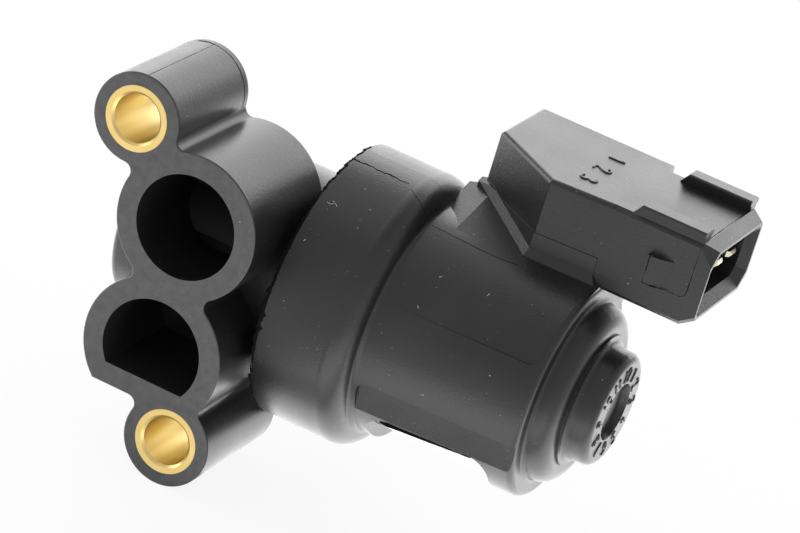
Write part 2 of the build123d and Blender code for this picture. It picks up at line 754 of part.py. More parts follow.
def coil_span():
    """Radial space between a pole shoe and the core ring at the side of a coil."""
    side = TOOTH_WIDTH / 2 + BOBBIN_T + WINDING_T
    inner = POLE_R + SHOE_T + FIT
    outer = math.sqrt((CORE_R - CORE_RING_T) ** 2 - side ** 2) - WINDING_GAP
    return inner, outer


def coil_bobbin(angle):
    """Plastic sleeve that insulates the winding from its tooth."""
    inner, outer = coil_span()
    width = TOOTH_WIDTH + 2 * FIT
    sleeve = coil_box(inner, outer, width + 2 * BOBBIN_T, FIT + BOBBIN_T, angle)
    return sleeve - coil_box(inner - 1, outer + 1, width, FIT, angle)


def coil_winding(angle):
    """Copper winding on one bobbin, as one solid."""
    inner, outer = coil_span()
    width = TOOTH_WIDTH + 2 * (BOBBIN_T + 2 * FIT)
    over = BOBBIN_T + 2 * FIT
    body = coil_box(inner + WINDING_GAP, outer, width + 2 * WINDING_T, over + WINDING_T, angle)
    return body - coil_box(inner - 1, outer + 1, width, over, angle)


def bearing_rings(x0):
    """Outer and inner rings of a deep groove ball bearing that starts at x0."""
    middle = x0 + BEARING_WIDTH / 2
    groove = Pos(middle, pitch_radius()) * Circle(BALL_R + RACE_PLAY)
    track = revolve(AXIS_PLANE * groove, MOTOR_AXIS)
    outer = ring(x0, x0 + BEARING_WIDTH, BEARING_R, BEARING_R - RACE_T) - track
    inner = ring(x0, x0 + BEARING_WIDTH, SHAFT_R + FIT + RACE_T, SHAFT_R + FIT) - track
    return outer, inner


def pitch_radius():
    """Radius of the circle through the ball centres."""
    return (BEARING_R + SHAFT_R + FIT) / 2


def ball_places(x0):
    """Centres of the balls of the bearing that starts at x0."""
    return [
        Pos(x0 + BEARING_WIDTH / 2, AXIS_Y, 0)
        * Rot(360 * index / BALLS, 0, 0)
        * Pos(0, pitch_radius(), 0)
        for index in range(BALLS)
    ]


def bearing_balls(x0):
    """All balls of one bearing, as separate solids."""
    return Compound([place * Sphere(BALL_R) for place in ball_places(x0)])


def bearing_cage(x0):
    """Ring with a round pocket for each ball."""
    middle = x0 + BEARING_WIDTH / 2
    outer = pitch_radius() + CAGE_T / 2
    cage = ring(middle - CAGE_WIDTH / 2, middle + CAGE_WIDTH / 2, outer, outer - CAGE_T)
    for place in ball_places(x0):
        cage -= place * Sphere(BALL_R + RACE_PLAY)
    return cage


X_FRONT_BEARING = X_PLATE + PLATE_WALL
X_REAR_BEARING = X_MOTOR_END + BEARING_LIP / 2
SLIDE_X0 = PORT_X - SLIDE_LENGTH / 2
SLIDE_X1 = PORT_X + SLIDE_LENGTH / 2


def preload_washer():
    """Spring washer behind the rear bearing's outer ring."""
    x0 = X_REAR_BEARING + BEARING_WIDTH
    return ring(x0, x0 + WASHER_T, BEARING_R - RUN, BEARING_R - WASHER_T_RADIAL)


def rotor_shaft():
    """Steel shaft with a thicker middle between the two bearings and a clip groove in front."""
    x0 = SLIDE_X0 - 3 * CLIP_T
    x1 = X_REAR_BEARING + BEARING_WIDTH - BEARING_LIP
    shaft = disc(x0, x1, SHAFT_R)
    shaft += disc(X_FRONT_BEARING + BEARING_WIDTH, X_REAR_BEARING, HUB_R)
    return shaft - ring(SLIDE_X0 - CLIP_T, SLIDE_X0, SHAFT_R + 1, SHAFT_R - CLIP_T)


def rotor_hub():
    """Moulded sleeve between the shaft and the magnet."""
    x0, x1 = stack(MAGNET_OVERRUN)
    return ring(x0, x1, MAGNET_R - MAGNET_T - FIT, HUB_R + FIT)


def rotor_magnet():
    """Ring magnet of the rotor."""
    x0, x1 = stack(MAGNET_OVERRUN)
    return ring(x0, x1, MAGNET_R, MAGNET_R - MAGNET_T)


def rotary_slide():
    """Curved shutter on two webs and a hub, with the tab that meets the stops."""
    outer = CHAMBER_BORE_R - SLIDE_PLAY
    slide = sector(SLIDE_X0, SLIDE_X1, outer, outer - SLIDE_T, SLIDE_REST, SLIDE_ARC)
    for x0 in (SLIDE_X0, SLIDE_X1 - SLIDE_WEB_T):
        slide += sector(x0, x0 + SLIDE_WEB_T, outer, SHAFT_R + 1, SLIDE_REST, SLIDE_ARC)
    slide += disc(SLIDE_X0, SLIDE_X1, SLIDE_HUB_R)
    slide += sector(SLIDE_X0 - TAB_LENGTH, SLIDE_X0, STOP_R, STOP_R - STOP_T, SLIDE_REST, TAB_ARC)
    return slide - disc(SLIDE_X0, SLIDE_X1, SHAFT_R + FIT)


def slide_clip():
    """Open spring clip in the shaft groove, holding the slide."""
    clip = ring(SLIDE_X0 - CLIP_T + FIT, SLIDE_X0 - FIT, CLIP_R, SHAFT_R - CLIP_T + FIT)
    gap = sector(SLIDE_X0 - CLIP_T, SLIDE_X0, CLIP_R + 1, 0.5, 180 + SLIDE_REST, CLIP_GAP_ARC)
    return clip - gap


def parts():
    """Every separate piece of the valve by its node name."""
    pieces = {
        "valve_body": valve_body(),
        "upper_mounting_bush": mounting_bush(UPPER_BOLT),
        "lower_mounting_bush": mounting_bush(LOWER_BOLT),
        "body_seal_ring": body_seal_ring(),
        "motor_housing": motor_housing(),
        "bearing_plate": bearing_plate(),
        "shaft_seal": shaft_seal(),
        "yoke_tube": yoke_tube(),
        "stator_core": stator_core(),
        "preload_washer": preload_washer(),
        "rotor_shaft": rotor_shaft(),
        "rotor_hub": rotor_hub(),
        "rotor_magnet": rotor_magnet(),
        "rotary_slide": rotary_slide(),
        "slide_clip": slide_clip(),
    }
    for number, index in ((1, 1), (2, 0), (3, -1)):
        pieces[f"terminal_{number}"] = terminal(index)
    for number, angle in enumerate(pole_angles(), start=1):
        pieces[f"coil_bobbin_{number}"] = coil_bobbin(angle)
        pieces[f"coil_winding_{number}"] = coil_winding(angle)
    for name, x0 in (("front", X_FRONT_BEARING), ("rear", X_REAR_BEARING)):
        outer, inner = bearing_rings(x0)
        pieces[f"{name}_bearing_outer_ring"] = outer
        pieces[f"{name}_bearing_inner_ring"] = inner
        pieces[f"{name}_bearing_balls"] = bearing_balls(x0)
        pieces[f"{name}_bearing_cage"] = bearing_cage(x0)
    return pieces


os.makedirs("parts", exist_ok=True)
for node, shape in parts().items():
    export_step(shape, f"parts/{node}.step")
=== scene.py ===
import bpy
import numpy as np
from mathutils import Matrix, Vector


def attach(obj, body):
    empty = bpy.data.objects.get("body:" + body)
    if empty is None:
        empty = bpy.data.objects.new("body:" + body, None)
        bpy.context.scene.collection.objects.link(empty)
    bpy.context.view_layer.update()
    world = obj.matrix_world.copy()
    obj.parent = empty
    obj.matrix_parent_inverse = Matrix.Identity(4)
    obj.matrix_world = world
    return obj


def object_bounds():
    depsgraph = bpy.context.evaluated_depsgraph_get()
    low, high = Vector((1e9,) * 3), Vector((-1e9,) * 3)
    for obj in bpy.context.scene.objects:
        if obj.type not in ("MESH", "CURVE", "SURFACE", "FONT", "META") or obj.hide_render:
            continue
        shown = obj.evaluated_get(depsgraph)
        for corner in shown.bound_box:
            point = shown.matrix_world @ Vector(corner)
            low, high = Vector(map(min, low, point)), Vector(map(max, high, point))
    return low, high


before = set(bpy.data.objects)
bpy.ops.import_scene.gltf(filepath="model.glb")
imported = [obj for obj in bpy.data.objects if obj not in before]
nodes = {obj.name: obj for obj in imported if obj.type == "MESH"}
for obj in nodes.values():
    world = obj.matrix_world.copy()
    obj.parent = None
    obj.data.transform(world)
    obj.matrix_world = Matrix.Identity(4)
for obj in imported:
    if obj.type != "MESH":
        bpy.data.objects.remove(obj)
cad_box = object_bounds()


# Valve body: port block, slide chamber and joint flange in one moulding.
# Glass-filled black plastic with a satin mould grain; the port face is ground flat and greyer.
# It is the base that the bushes, the seals and the motor housing are fixed to.
def put(tree, kind, inputs=None, **settings):
    """One node: settings are its properties, inputs are values or links by socket name or place."""
    node = tree.nodes.new(kind)
    for key, value in settings.items():
        setattr(node, key, value)
    for key, value in (inputs or {}).items():
        if isinstance(value, bpy.types.NodeSocket):
            tree.links.new(value, node.inputs[key])
        else:
            node.inputs[key].default_value = value
    return node


def new_finish(name):
    """A material, its node tree, and the object's own coordinates as the tree's only node."""
    material = bpy.data.materials.new(name)
    material.use_nodes = True
    material.node_tree.nodes.clear()
    where = put(material.node_tree, "ShaderNodeTexCoord").outputs["Object"]
    return material, material.node_tree, where


def work_out(tree, operation, *terms):
    """Result of a math node from one to three terms, each a number or a link."""
    return put(tree, "ShaderNodeMath", dict(enumerate(terms)), operation=operation).outputs[0]


def noise(tree, place, scale, detail=2.0):
    """Value of a noise with so many waves a metre."""
    inputs = {"Vector": place, "Scale": scale, "Detail": detail}
    return put(tree, "ShaderNodeTexNoise", inputs).outputs["Fac"]


def share_between(tree, value, start, end):
    """Share of the way from start to end that a value has gone, held at 0 and 1 beyond them."""
    inputs = {"Value": value, "From Min": start, "From Max": end}
    return put(tree, "ShaderNodeMapRange", inputs).outputs[0]


def spread(tree, share, low, high):
    """A share of 0 to 1 laid out from low to high."""
    inputs = {"Value": share, "To Min": low, "To Max": high}
    return put(tree, "ShaderNodeMapRange", inputs).outputs[0]


def blend(tree, share, under, over):
    """Colour on the way from one to another."""
    inputs = {"Factor": share, 6: under, 7: over}
    return put(tree, "ShaderNodeMix", inputs, data_type="RGBA").outputs[2]


def two_tones(tree, share, dark, light, stops=(0.0, 1.0)):
    """Ramp from a dark to a light tone between two stops."""
    ramp = put(tree, "ShaderNodeValToRGB", {"Fac": share})
    for element, stop, tone in zip(ramp.color_ramp.elements, stops, (dark, light)):
        element.position = stop
        element.color = (*tone, 1.0)
    return ramp.outputs[0]


def relief(tree, height, strength, depth):
    """Normal from a height; the depth is in metres."""
    inputs = {"Strength": strength, "Distance": depth, "Height": height}
    return put(tree, "ShaderNodeBump", inputs).outputs[0]


def shade(tree, colour, rough, normal=None, metallic=0.0, specular=0.5, coat=0.0):
    """The material's own shader, with its constants on its own sockets, and the output."""
    inputs = {"Base Color": colour, "Roughness": rough, "Metallic": metallic,
              "Specular IOR Level": specular, "Coat Weight": coat}
    if normal is not None:
        inputs["Normal"] = normal
    shader = put(tree, "ShaderNodeBsdfPrincipled", inputs)
    put(tree, "ShaderNodeOutputMaterial", {"Surface": shader.outputs[0]})


def group_of(name, takes, gives):
    """An empty shader group with float sockets, and a Position vector as its first input."""
    group = bpy.data.node_groups.new(name, "ShaderNodeTree")
    group.interface.new_socket("Position", in_out="INPUT", socket_type="NodeSocketVector")
    for socket in takes:
        group.interface.new_socket(socket, in_out="INPUT", socket_type="NodeSocketFloat")
    for socket in gives:
        group.interface.new_socket(socket, in_out="OUTPUT", socket_type="NodeSocketFloat")
    given = group.nodes.new("NodeGroupInput").outputs
    return group, given, group.nodes.new("NodeGroupOutput").inputs


def mould_grain_group():
    """Height: a noise at the grain's own density plus 0.4 of one three times coarser.

    Mottle: a slow noise, stretched to 0 to 1.
    """
    coarser, coarse_share = 0.34, 0.4
    group, given, out = group_of("mould_grain", ["Density"], ["Height", "Mottle"])
    fine = noise(group, given["Position"], given["Density"])
    coarse_density = work_out(group, "MULTIPLY", given["Density"], coarser)
    coarse = noise(group, given["Position"], coarse_density, detail=1.0)
    height = work_out(group, "MULTIPLY_ADD", coarse, coarse_share, fine)
    slow = noise(group, given["Position"], scale=95.0, detail=4.0)
    group.links.new(height, out["Height"])
    group.links.new(share_between(group, slow, start=0.3, end=0.7), out["Mottle"])
    return group


def dust_group():
    """Mask of specks: near the middle of a cell, in the share of cells with a low random value."""
    warp_scale, warp_reach = 2600.0, 0.00022
    group, given, out = group_of("dust_specks", ["Density", "Share", "Radius"], ["Mask"])
    warp = put(group, "ShaderNodeTexNoise", {"Vector": given["Position"], "Scale": warp_scale})
    bend = {0: warp.outputs["Color"], "Scale": warp_reach}
    shift = put(group, "ShaderNodeVectorMath", bend, operation="SCALE").outputs[0]
    moved = {0: given["Position"], 1: shift}
    bent = put(group, "ShaderNodeVectorMath", moved, operation="ADD").outputs[0]
    cells = put(group, "ShaderNodeTexVoronoi", {"Vector": bent, "Scale": given["Density"]})
    reach = work_out(group, "MULTIPLY", given["Radius"], given["Density"])
    near = work_out(group, "LESS_THAN", cells.outputs["Distance"], reach)
    pick = put(group, "ShaderNodeSeparateColor", {0: cells.outputs["Color"]})
    chosen = work_out(group, "LESS_THAN", pick.outputs[0], given["Share"])
    group.links.new(work_out(group, "MULTIPLY", near, chosen), out["Mask"])
    return group


mould_grain = mould_grain_group()
dust_specks = dust_group()
black_dark = (0.0105, 0.0108, 0.0116, 1.0)
black_light = (0.0180, 0.0184, 0.0196, 1.0)
ground_dark, ground_light = (0.060, 0.060, 0.063), (0.106, 0.106, 0.109)
ground_rough = 0.62
dust_grey = (0.30, 0.29, 0.28, 1.0)


def grain_on(tree, where, density):
    """Height and mottle of the mould grain on an object."""
    inputs = {"Position": where, "Density": density}
    grain = put(tree, "ShaderNodeGroup", inputs, node_tree=mould_grain)
    return grain.outputs["Height"], grain.outputs["Mottle"]


def specks_on(tree, where, density, share, radius):
    """Mask of specks on an object."""
    inputs = {"Position": where, "Density": density, "Share": share, "Radius": radius}
    return put(tree, "ShaderNodeGroup", inputs, node_tree=dust_specks).outputs[0]


def black_plastic(name, ground_face):
    """Black tone from the slow mottle, dust over it, satin grain as bump; a ground face is grey."""
    material, tree, where = new_finish(name)
    height, mottle = grain_on(tree, where, density=4600.0)
    skin = blend(tree, mottle, black_dark, black_light)
    rough = spread(tree, mottle, low=0.28, high=0.36)
    if ground_face:
        behind = put(tree, "ShaderNodeSeparateXYZ", {0: where}).outputs["Y"]
        face = share_between(tree, behind, start=0.00014, end=0.00004)
        scuff_inputs = {"Vector": where, "Scale": 700.0, "Detail": 6.0, "Roughness": 0.7}
        scuff = put(tree, "ShaderNodeTexNoise", scuff_inputs).outputs["Fac"]
        grey = two_tones(tree, scuff, ground_dark, ground_light, stops=(0.3, 0.75))
        skin = blend(tree, face, skin, grey)
        dull_inputs = {"Factor": face, 2: rough, 3: ground_rough}
        rough = put(tree, "ShaderNodeMix", dull_inputs, data_type="FLOAT").outputs[0]
    fine_dust = specks_on(tree, where, density=1500.0, share=0.22, radius=0.00005)
    flakes = specks_on(tree, where, density=420.0, share=0.22, radius=0.0001)
    dusty = blend(tree, work_out(tree, "MAXIMUM", fine_dust, flakes), skin, dust_grey)
    shade(tree, dusty, rough, relief(tree, height, strength=0.6, depth=0.00005))
    return material


def dress(names, material):
    """Gives CAD nodes their finish, in the slots that they came with."""
    for name in names:
        slots = nodes[name].data.materials
        for place in range(len(slots)):
            slots[place] = material


body_black = black_plastic("body_black", ground_face=True)
dress(["valve_body"], body_black)


# Mould seams on the upper boss: the die halves leave a hair of flash along the top and at the rear.
# Moulded with the boss; thin, uneven and broken in places, drawn near black and unglossy as painted
# shade along the seam.
def bead(path, out, half_width, height, sides=10):
    """Closed bead along a path, in mm.

    Ring point = path + half_width cos(a) across + height sin(a) out, with across = out x along.
    One point past each end closes the bead. Returns its points in metres and its faces.
    """
    path = np.asarray(path, float)
    count = len(path)
    out = np.broadcast_to(np.asarray(out, float), path.shape)
    along = np.gradient(path, axis=0)
    along /= np.linalg.norm(along, axis=1, keepdims=True)
    across = np.cross(out, along)
    across /= np.linalg.norm(across, axis=1, keepdims=True)
    wide = np.broadcast_to(np.asarray(half_width, float), (count,))
    tall = np.broadcast_to(np.asarray(height, float), (count,))
    turn = np.arange(sides) * 2 * np.pi / sides
    rings = path[:, None] + np.cos(turn)[None, :, None] * (wide[:, None] * across)[:, None]
    rings = rings + np.sin(turn)[None, :, None] * (tall[:, None] * out)[:, None]
    ends = np.stack([path[0] - along[0] * wide[0], path[-1] + along[-1] * wide[-1]])
    points = np.concatenate([rings.reshape(-1, 3), ends]) / 1000
    ring, side = np.meshgrid(np.arange(count - 1) * sides, np.arange(sides), indexing="ij")
    ahead = (side + 1) % sides
    quads = np.stack([ring + side, ring + ahead, ring + sides + ahead, ring + sides + side], -1)
    j = np.arange(sides)
    k = (j + 1) % sides
    last = (count - 1) * sides
    start_fan = np.stack([np.full(sides, count * sides), k, j], -1)
    end_fan = np.stack([np.full(sides, count * sides + 1), last + j, last + k], -1)
    return points, quads.reshape(-1, 4).tolist() + start_fan.tolist() + end_fan.tolist()


def line_of(x, y, z):
    """Points of a line from its three coordinates; a single number holds for all the points."""
    return np.stack(np.broadcast_arrays(x, y, z), 1)


def piece_of(name, shells, material):
    """One object from closed shells, with its finish and its slot; it rides on the valve."""
    points, faces, base = [], [], 0
    for shell_points, shell_faces in shells:
        points.append(shell_points)
        faces += [[base + corner for corner in face] for face in shell_faces]
        base += len(shell_points)
    mesh = bpy.data.meshes.new(name)
    mesh.from_pydata(np.concatenate(points).tolist(), [], faces)
    mesh.shade_smooth()
    mesh.materials.append(material)
    piece = bpy.data.objects.new(name, mesh)
    bpy.context.scene.collection.objects.link(piece)
    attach(piece, "valve")


def seam_black():
    """Painted shade: flash darker and less glossy than the skin beside it, also painted shadow in
    gaps; its tone changes slowly along it.
    """
    material, tree, where = new_finish("seam_black")
    change = noise(tree, where, scale=900.0, detail=3.0)
    tone = two_tones(tree, change, dark=(0.002, 0.002, 0.002), light=(0.012, 0.012, 0.013))
    shade(tree, tone, spread(tree, change, low=0.55, high=0.85), specular=0.03)
    return material


# Painted shade: near black and unglossy, for the seams' shade lines and for the shadow gaps.
flash_and_shadow_black = seam_black()


def flash_piece(name, *beads):
    """Beads of flash and of painted shadow as one piece, in the painted-shade black."""
    piece_of(name, beads, flash_and_shadow_black)


def flash_width(count, widest, seed):
    """Half width along a seam: slow sines of three lengths, so that the line thins and swells."""
    s = np.linspace(0, 1, count)
    swell = np.sin(11 * s + seed) + 0.7 * np.sin(29 * s + 2.1 * seed)
    swell = swell + 0.5 * np.sin(67 * s + 3.7 * seed)
    return widest * np.clip(0.55 + 0.28 * swell, 0.12, 1.0)


boss_x, boss_z, boss_r = -8.1, 20.4, 6.3
seam_start, seam_end, rear_rim = 0.4, 18.6, 18.7
top_line = line_of(boss_x, np.linspace(seam_start, seam_end, 120), boss_z + boss_r)
top_width = flash_width(120, widest=0.055, seed=1.0)
flash_piece("boss_top_seam", bead(top_line, (0, 0, 1), top_width, height=0.02))
ring_from, ring_to = 112, -28
ring_turn = np.linspace(ring_from, ring_to, 140)
ring_angle = np.radians(ring_turn)
ring_out = line_of(np.cos(ring_angle), 0.0, np.sin(ring_angle))
ring_line = np.array([boss_x, rear_rim, boss_z]) + boss_r * ring_out
thick_at = [ring_to, -18, -10, 84, 94, 106, ring_from]
thick_ends = np.interp(ring_turn, thick_at, [0.1, 0.16, 0, 0, 0.1, 0.2, 0.1])
ring_width = flash_width(140, widest=0.10, seed=2.6) + thick_ends
flash_piece("boss_ring_seam", bead(ring_line, ring_out, ring_width, height=0.035))


# Mounting bushes: turned brass sleeves pressed into the two bolt bosses.
# Fine tool rings on the end faces and in the bore, slightly dull, with a few dark specks.
def tool_rings_group():
    """Height: noise of one number, distance from the Z axis plus height along it.

    So rings show on ends and on walls. Tone: a slow noise.
    """
    group, given, out = group_of("tool_rings", ["Density"], ["Height", "Tone"])
    split = put(group, "ShaderNodeSeparateXYZ", {0: given["Position"]}).outputs
    flat = put(group, "ShaderNodeCombineXYZ", {0: split["X"], 1: split["Y"]}).outputs[0]
    radius = put(group, "ShaderNodeVectorMath", {0: flat}, operation="LENGTH").outputs["Value"]
    both = work_out(group, "ADD", radius, split["Z"])
    ring_inputs = {"W": both, "Scale": given["Density"], "Detail": 3.0}
    rings = put(group, "ShaderNodeTexNoise", ring_inputs, noise_dimensions="1D").outputs["Fac"]
    group.links.new(rings, out["Height"])
    group.links.new(noise(group, given["Position"], scale=420.0, detail=4.0), out["Tone"])
    return group


tool_rings = tool_rings_group()
quarter = np.pi / 2


def centred(tree, where, centre):
    """Coordinates measured from a centre that is given in mm."""
    inputs = {0: where, 1: [-c / 1000 for c in centre]}
    return put(tree, "ShaderNodeVectorMath", inputs, operation="ADD").outputs[0]


def rings_on(tree, where, centre, turn, density):
    """Coordinates with Z along the lathe's axis, and the height and tone of the tool rings."""
    inputs = {"Vector": centred(tree, where, centre), "Rotation": turn}
    axis = put(tree, "ShaderNodeMapping", inputs).outputs[0]
    inputs = {"Position": axis, "Density": density}
    rings = put(tree, "ShaderNodeGroup", inputs, node_tree=tool_rings)
    return axis, rings.outputs["Height"], rings.outputs["Tone"]


def pulled_lines(tree, place, waves):
    """Noise with its own number of waves a metre along X, Y and Z, pulled out where that is low."""
    pulled = put(tree, "ShaderNodeMapping", {"Vector": place, "Scale": waves}).outputs[0]
    return noise(tree, pulled, scale=1.0, detail=3.0)


def bush_brass(name, centre):
    """Brass about the Y axis: draw streaks in the bore, a fuller gold end face, dark specks."""
    bore_dark, bore_light = (0.66, 0.535, 0.23), (0.76, 0.63, 0.335)
    end_dark, end_light = (0.82, 0.605, 0.225), (0.89, 0.665, 0.265)
    stain = (0.16, 0.09, 0.02, 1.0)
    middle = (0.3, 0.7)
    material, tree, where = new_finish(name)
    axis, height, slow = rings_on(tree, where, centre, turn=(quarter, 0, 0), density=5200.0)
    streaks = pulled_lines(tree, axis, waves=(900.0, 900.0, 30.0))
    bore = two_tones(tree, streaks, bore_dark, bore_light, middle)
    end = two_tones(tree, slow, end_dark, end_light, middle)
    depth = put(tree, "ShaderNodeSeparateXYZ", {0: axis}).outputs["Z"]
    skin = blend(tree, share_between(tree, depth, start=0.0003, end=0.00015), bore, end)
    specks = specks_on(tree, where, density=700.0, share=0.08, radius=0.0001)
    rough = spread(tree, height, low=0.26, high=0.46)
    normal = relief(tree, height, strength=0.4, depth=0.00001)
    shade(tree, blend(tree, specks, skin, stain), rough, normal, metallic=1.0)
    return material


for bush, side in (("upper_mounting_bush", 1), ("lower_mounting_bush", -1)):
    dress([bush], bush_brass(bush + "_brass", (side * boss_x, 0, side * boss_z)))


# Seals: a round ring in the flange and a washer on the shaft.
# Black nitrile rubber, moulded, with a dry matt skin; they sit in their grooves without glue.
def grained_skin(name, density, dark, light, rough, strength, depth, metallic=0.0):
    """Moulded or cast skin: tone and roughness from the slow mottle, the fine grain as bump."""
    material, tree, where = new_finish(name)
    height, mottle = grain_on(tree, where, density)
    tone = two_tones(tree, mottle, dark, light)
    normal = relief(tree, height, strength, depth)
    shade(tree, tone, spread(tree, mottle, *rough), normal, metallic)
    return material


seal_rubber = grained_skin(
    "seal_rubber", density=6500.0, dark=(0.010, 0.010, 0.010), light=(0.024, 0.023, 0.022),
    rough=(0.68, 0.86), strength=0.25, depth=0.00002)
dress(["body_seal_ring", "shaft_seal"], seal_rubber)


# Bearing plate: a die-cast aluminium disc between valve and motor, with the front bearing's cup.
# Cast skin with a soft sparkle; it is clamped between the flange and the yoke.
cast_aluminium = grained_skin(
    "cast_aluminium", density=2600.0, dark=(0.44, 0.44, 0.45), light=(0.60, 0.60, 0.61),
    rough=(0.42, 0.58), strength=0.3, depth=0.00003, metallic=1.0)
dress(["bearing_plate"], cast_aluminium)


# Yoke tube: a drawn steel tube that closes the magnetic path and shows in the barrel's window.
# Zinc-bright, with fine draw lines along the motor axis; a push fit in the barrel.
def drawn_steel():
    """Draw lines: noise stretched some fifty times along X, used for tone, roughness and bump."""
    steel_dark, steel_light = (0.27, 0.27, 0.267), (0.40, 0.40, 0.395)
    material, tree, where = new_finish("drawn_steel")
    lines = pulled_lines(tree, where, waves=(60.0, 3200.0, 3200.0))
    tone = two_tones(tree, lines, steel_dark, steel_light, stops=(0.25, 0.75))
    rough = spread(tree, lines, low=0.22, high=0.38)
    shade(tree, tone, rough, relief(tree, lines, strength=0.2, depth=0.00001), metallic=1.0)
    return material


dress(["yoke_tube"], drawn_steel())


# Stator core: stamped steel sheets of 0.5 mm, stacked along the motor axis, pressed into the yoke.
# A bright cut edge on each sheet and a thin joint with dark scale between sheets.
def stacked_sheets():
    """Sheet joints: a saw of X with a 0.5 mm step, dark at its start; a fine noise on the edges."""
    sheets_a_metre, joint_share = 2000.0, 0.16
    scale_dark = (0.03, 0.03, 0.032, 1.0)
    cut_dark, cut_light = (0.16, 0.16, 0.17), (0.34, 0.34, 0.35)
    material, tree, where = new_finish("core_sheets")
    along = put(tree, "ShaderNodeSeparateXYZ", {0: where}).outputs["X"]
    saw = work_out(tree, "FRACT", work_out(tree, "MULTIPLY", along, sheets_a_metre))
    joint = share_between(tree, saw, 0.0, joint_share)
    cut = noise(tree, where, scale=2400.0, detail=4.0)
    skin = blend(tree, joint, scale_dark, two_tones(tree, cut, cut_dark, cut_light))
    rough = spread(tree, cut, low=0.38, high=0.6)
    shade(tree, skin, rough, relief(tree, joint, strength=0.5, depth=0.00004), metallic=1.0)
    return material


dress(["stator_core"], stacked_sheets())


# Coil bobbins: thin moulded frames that insulate the teeth.
# Natural, uncoloured plastic, slightly cloudy; each snaps over its tooth.
natural_plastic = grained_skin(
    "natural_plastic", density=3600.0, dark=(0.58, 0.52, 0.40), light=(0.68, 0.62, 0.50),
    rough=(0.36, 0.5), strength=0.15, depth=0.00002)
dress([f"coil_bobbin_{coil}" for coil in (1, 2, 3, 4)], natural_plastic)


# Coil windings: enamelled copper wire, 0.28 mm thick, wound in even layers round each tooth.
# Turns lie side by side along the tooth, so the stripes step with distance from the motor axis.
motor_axis = (0.0, 24.0, 0.0)


def wound_copper():
    """Turns: sine of the distance from the motor axis, one wave a wire; the grooves between turns
    are painted dark, as shade.
    """
    wire = 0.00028
    groove_shade, copper = (0.10, 0.030, 0.010), (0.52, 0.20, 0.085)
    material, tree, where = new_finish("wound_copper")
    split = put(tree, "ShaderNodeSeparateXYZ", {0: centred(tree, where, motor_axis)}).outputs
    flat = put(tree, "ShaderNodeCombineXYZ", {1: split["Y"], 2: split["Z"]}).outputs[0]
    radius = put(tree, "ShaderNodeVectorMath", {0: flat}, operation="LENGTH").outputs["Value"]
    wave = work_out(tree, "SINE", work_out(tree, "MULTIPLY", radius, 2 * np.pi / wire))
    turns = share_between(tree, wave, start=-1.0, end=1.0)
    tone = two_tones(tree, turns, groove_shade, copper, stops=(0.0, 0.6))
    varnish = noise(tree, where, scale=900.0, detail=3.0)
    rough = spread(tree, varnish, low=0.24, high=0.44)
    normal = relief(tree, turns, strength=0.8, depth=0.0001)
    shade(tree, tone, rough, normal, metallic=1.0, coat=0.5)
    return material


dress([f"coil_winding_{coil}" for coil in (1, 2, 3, 4)], wound_copper())


# Ball bearings, one at each end of the rotor: steel rings and balls in a pressed brass cage.
# The rings are ground, with lines round the motor axis, and the balls are polished.
# The front bearing sits in the plate, the rear one in the barrel.
to_x = (0, -quarter, 0)


def turned_metal(name, density, dark, light, rough, depth):
    """Metal turned about the motor axis: tone from a slow noise, bump and roughness from rings."""
    material, tree, where = new_finish(name)
    _, height, slow = rings_on(tree, where, motor_axis, to_x, density)
    tone = two_tones(tree, slow, dark, light, stops=(0.3, 0.7))
    normal = relief(tree, height, strength=0.4, depth=depth)
    shade(tree, tone, spread(tree, height, *rough), normal, metallic=1.0)
    return material


ground_steel = turned_metal(
    "ground_steel", density=9000.0, dark=(0.56, 0.56, 0.57), light=(0.72, 0.72, 0.73),
    rough=(0.16, 0.32), depth=0.000004)
polished_steel = turned_metal(
    "polished_steel", density=2500.0, dark=(0.66, 0.66, 0.67), light=(0.74, 0.74, 0.75),
    rough=(0.06, 0.14), depth=0.000001)
pressed_brass = turned_metal(
    "pressed_brass", density=3000.0, dark=(0.52, 0.36, 0.12), light=(0.68, 0.50, 0.20),
    rough=(0.30, 0.48), depth=0.000006)
for end in ("front", "rear"):
    dress([f"{end}_bearing_outer_ring", f"{end}_bearing_inner_ring"], ground_steel)
    dress([f"{end}_bearing_balls"], polished_steel)
    dress([f"{end}_bearing_cage"], pressed_brass)


# Preload washer and slide clip: stamped from hardened spring strip, bright with a blue-grey cast.
# The washer presses on the rear bearing.
# The open clip snaps into the shaft's groove behind the slide.
spring_strip = turned_metal(
    "spring_strip", density=6000.0, dark=(0.24, 0.25, 0.28), light=(0.40, 0.41, 0.44),
    rough=(0.26, 0.42), depth=0.000005)
dress(["preload_washer", "slide_clip"], spring_strip)


# Rotor: a ground shaft, a turned steel hub and a ring magnet that is bonded to it.
# The magnet is sintered ferrite, charcoal grey and grainy, ground on its outside.
shaft_steel = turned_metal(
    "shaft_steel", density=12000.0, dark=(0.50, 0.50, 0.51), light=(0.64, 0.64, 0.65),
    rough=(0.18, 0.34), depth=0.000004)
hub_steel = turned_metal(
    "hub_steel", density=4200.0, dark=(0.36, 0.36, 0.37), light=(0.52, 0.52, 0.53),
    rough=(0.30, 0.48), depth=0.00001)
dress(["rotor_shaft"], shaft_steel)
dress(["rotor_hub"], hub_steel)


def sintered_ferrite():
    """Grainy charcoal: fine cells of slightly different grey, dull, with a faint pitted bump."""
    material, tree, where = new_finish("sintered_ferrite")
    cells = put(tree, "ShaderNodeTexVoronoi", {"Vector": where, "Scale": 5200.0})
    pick = put(tree, "ShaderNodeSeparateColor", {0: cells.outputs["Color"]}).outputs
    tone = two_tones(tree, pick[0], dark=(0.018, 0.018, 0.020), light=(0.050, 0.050, 0.054))
    rough = spread(tree, pick[1], low=0.42, high=0.62)
    shade(tree, tone, rough, relief(tree, cells.outputs["Distance"], strength=0.3, depth=0.00002))
    return material


dress(["rotor_magnet"], sintered_ferrite())


